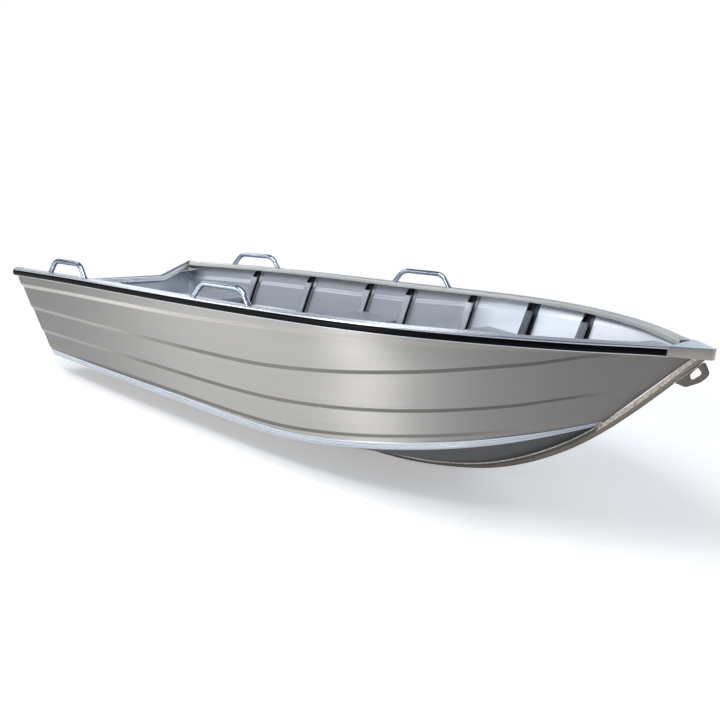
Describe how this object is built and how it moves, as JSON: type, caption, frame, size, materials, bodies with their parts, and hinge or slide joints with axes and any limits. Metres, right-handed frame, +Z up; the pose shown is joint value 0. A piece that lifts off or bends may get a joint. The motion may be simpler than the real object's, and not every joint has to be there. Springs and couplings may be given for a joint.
{
  "type": "rowing boat",
  "caption": "Open welded aluminium rowing boat with V bottom, ledged sides, hat frames, bench seats, bent tube handles, black fender strip and bow eye.",
  "frame": {"origin": "middle of the length and beam, on the floor under the keel", "axes": "+X to the bow, +Y to port, +Z up"},
  "size_m": [3.6852, 1.6106, 0.8577],
  "materials": {
    "hull": "brushed",
    "trim": "satin",
    "handles": "polished",
    "seats": "satin",
    "fender": "satin",
    "motor_pad": "matte"
  },
  "bodies": {
    "root": {"bottom_port": "hull", "bottom_starboard": "hull", "bow_cap": "trim", "bow_eye": "hull", "chine_port": "hull", "chine_starboard": "hull", "drain_socket": "hull", "fender_port": "fender", "fender_starboard": "fender", "frame_1": "hull", "frame_2": "hull", "frame_3": "hull", "frame_4": "hull", "frame_5": "hull", "frame_6": "hull", "frame_7": "hull", "gunwale_port": "trim", "gunwale_starboard": "trim", "handle_aft_port": "handles", "handle_aft_starboard": "handles", "handle_forward_port": "handles", "handle_forward_starboard": "handles", "keel": "hull", "knee_port": "hull", "knee_starboard": "hull", "motor_pad": "motor_pad", "runner_port": "hull", "runner_starboard": "hull", "seat_aft": "seats", "seat_bow": "seats", "seat_middle": "seats", "side_port": "hull", "side_starboard": "hull", "stem": "hull", "transom": "hull", "transom_capping": "trim"}
  },
  "joints": []
}
